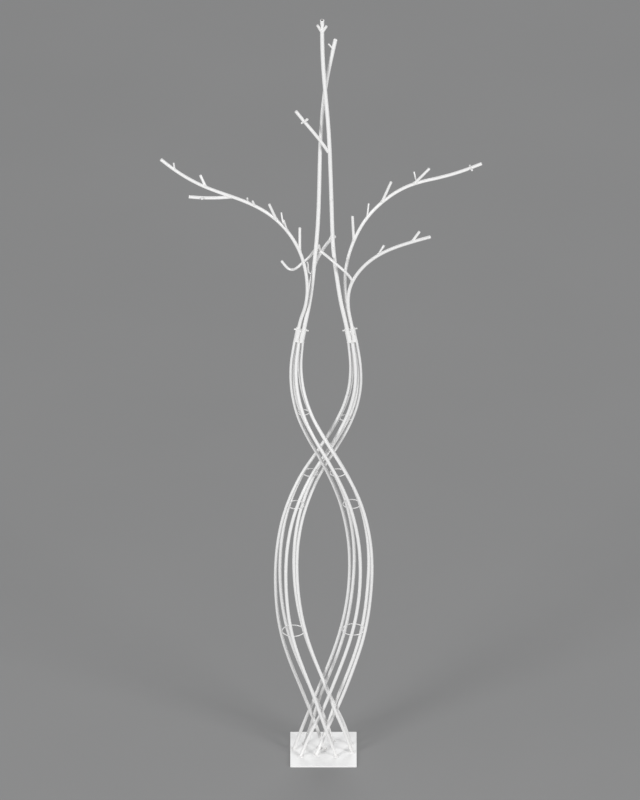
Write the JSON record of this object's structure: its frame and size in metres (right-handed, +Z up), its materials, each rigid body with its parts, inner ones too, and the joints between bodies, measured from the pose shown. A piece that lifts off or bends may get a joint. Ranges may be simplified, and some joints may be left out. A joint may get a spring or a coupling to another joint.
{
  "type": "garden obelisk",
  "caption": "Tall white steel garden obelisk: two crossing bundles of bent rods on a square plate, carrying a crown of branching tubes.",
  "frame": {"origin": "centre of the underside of the square base plate", "axes": "+Z up, +X to the right seen from the front, +Y away from the front; the two stems cross in the XZ plane"},
  "size_m": [0.956, 0.2879, 2.52],
  "materials": {
    "stem_coat": "satin white powder coat",
    "crown_coat": "satin white powder coat",
    "twig_coat": "satin white powder coat",
    "collar_coat": "satin white powder coat, thicker at the joints",
    "plate_coat": "gloss white powder coat",
    "hoop_wire": "satin white powder coat",
    "weld_beads": "coated weld beads with ripples",
    "tube_caps": "satin white powder coat",
    "clamp_screws": "white coated set screws, worn at the hexagon"
  },
  "bodies": {
    "root": {"back_branch_socket": "collar_coat", "base_plate": "plate_coat", "first_stem_foot_welds": "weld_beads", "first_stem_hoop_1": "hoop_wire", "first_stem_hoop_2": "hoop_wire", "first_stem_hoop_3": "hoop_wire", "first_stem_hoop_4": "hoop_wire", "first_stem_rod_1": "stem_coat", "first_stem_rod_2": "stem_coat", "first_stem_rod_3": "stem_coat", "first_stem_rod_4": "stem_coat", "first_stem_rod_5": "stem_coat", "left_branch_socket": "collar_coat", "left_collar_welds": "weld_beads", "left_mast_socket": "collar_coat", "lower_right_branch_socket": "collar_coat", "right_collar_welds": "weld_beads", "right_mast_socket": "collar_coat", "second_stem_foot_welds": "weld_beads", "second_stem_hoop_1": "hoop_wire", "second_stem_hoop_2": "hoop_wire", "second_stem_hoop_3": "hoop_wire", "second_stem_hoop_4": "hoop_wire", "second_stem_rod_1": "stem_coat", "second_stem_rod_2": "stem_coat", "second_stem_rod_3": "stem_coat", "second_stem_rod_4": "stem_coat", "second_stem_rod_5": "stem_coat", "upper_right_branch_socket": "collar_coat"},
    "left_mast": {"left_mast": "crown_coat", "left_mast_twigs": "twig_coat", "left_mast_spur": "twig_coat", "left_mast_cap": "tube_caps"},
    "left_branch": {"left_branch": "crown_coat", "left_side_branch": "crown_coat", "left_branch_twigs": "twig_coat", "left_branch_caps": "tube_caps"},
    "back_branch": {"back_branch": "crown_coat", "back_branch_twigs": "twig_coat", "back_branch_cap": "tube_caps"},
    "right_mast": {"right_mast": "crown_coat", "right_mast_twigs": "twig_coat", "mast_side_branch": "crown_coat", "mast_side_branch_stubs": "twig_coat", "mast_side_branch_cap": "tube_caps"},
    "upper_right_branch": {"upper_right_branch": "crown_coat", "upper_right_branch_twigs": "twig_coat", "upper_right_branch_cap": "tube_caps"},
    "lower_right_branch": {"lower_right_branch": "crown_coat", "hook_branch": "crown_coat", "lower_right_branch_twigs": "twig_coat", "lower_right_branch_caps": "tube_caps"},
    "left_mast_screw": {"left_mast_screw": "clamp_screws"},
    "left_branch_screw": {"left_branch_screw": "clamp_screws"},
    "back_branch_screw": {"back_branch_screw": "clamp_screws"},
    "right_mast_screw": {"right_mast_screw": "clamp_screws"},
    "upper_right_branch_screw": {"upper_right_branch_screw": "clamp_screws"},
    "lower_right_branch_screw": {"lower_right_branch_screw": "clamp_screws"}
  },
  "joints": [
    {"name": "left_mast_lift", "type": "slide", "parent": "root", "child": "left_mast", "axis": [0.1822, 0, 0.9833], "range_m": [0, 0.025]},
    {"name": "left_mast_screw_turn", "type": "hinge", "parent": "root", "child": "left_mast_screw", "pos_m": [-0.05856, -0.00468, 1.46284], "axis": [0.9833, 0, -0.1822], "continuous": true},
    {"name": "left_branch_swivel", "type": "hinge", "parent": "root", "child": "left_branch", "pos_m": [-0.07376, -0.00468, 1.46972], "axis": [0.1822, 0, 0.9833], "range_deg": [-8, 16]},
    {"name": "left_branch_screw_turn", "type": "hinge", "parent": "root", "child": "left_branch_screw", "pos_m": [-0.07449, -0.00468, 1.46579], "axis": [-0.924, -0.342, 0.1712], "continuous": true},
    {"name": "back_branch_swivel", "type": "hinge", "parent": "root", "child": "back_branch", "pos_m": [-0.0658, 0.00935, 1.46825], "axis": [0.1822, 0, 0.9833], "range_deg": [-25, 12]},
    {"name": "back_branch_screw_turn", "type": "hinge", "parent": "root", "child": "back_branch_screw", "pos_m": [-0.06653, 0.00935, 1.46431], "axis": [0, 1, 0], "continuous": true},
    {"name": "right_mast_lift", "type": "slide", "parent": "root", "child": "right_mast", "axis": [-0.1822, 0, 0.9833], "range_m": [0, 0.025]},
    {"name": "right_mast_screw_turn", "type": "hinge", "parent": "root", "child": "right_mast_screw", "pos_m": [0.07056, -0.00468, 1.46284], "axis": [-0.9833, 0, -0.1822], "continuous": true},
    {"name": "upper_right_branch_swivel", "type": "hinge", "parent": "root", "child": "upper_right_branch", "pos_m": [0.0778, 0.00935, 1.46825], "axis": [-0.1822, 0, 0.9833], "range_deg": [-10, 25]},
    {"name": "upper_right_branch_screw_turn", "type": "hinge", "parent": "root", "child": "upper_right_branch_screw", "pos_m": [0.07853, 0.00935, 1.46431], "axis": [0, 1, 0], "continuous": true},
    {"name": "lower_right_branch_lift", "type": "slide", "parent": "root", "child": "lower_right_branch", "axis": [-0.1822, 0, 0.9833], "range_m": [0, 0.006]},
    {"name": "lower_right_branch_screw_turn", "type": "hinge", "parent": "root", "child": "lower_right_branch_screw", "pos_m": [0.08649, -0.00468, 1.46579], "axis": [0.9833, 0, 0.1822], "continuous": true}
  ]
}
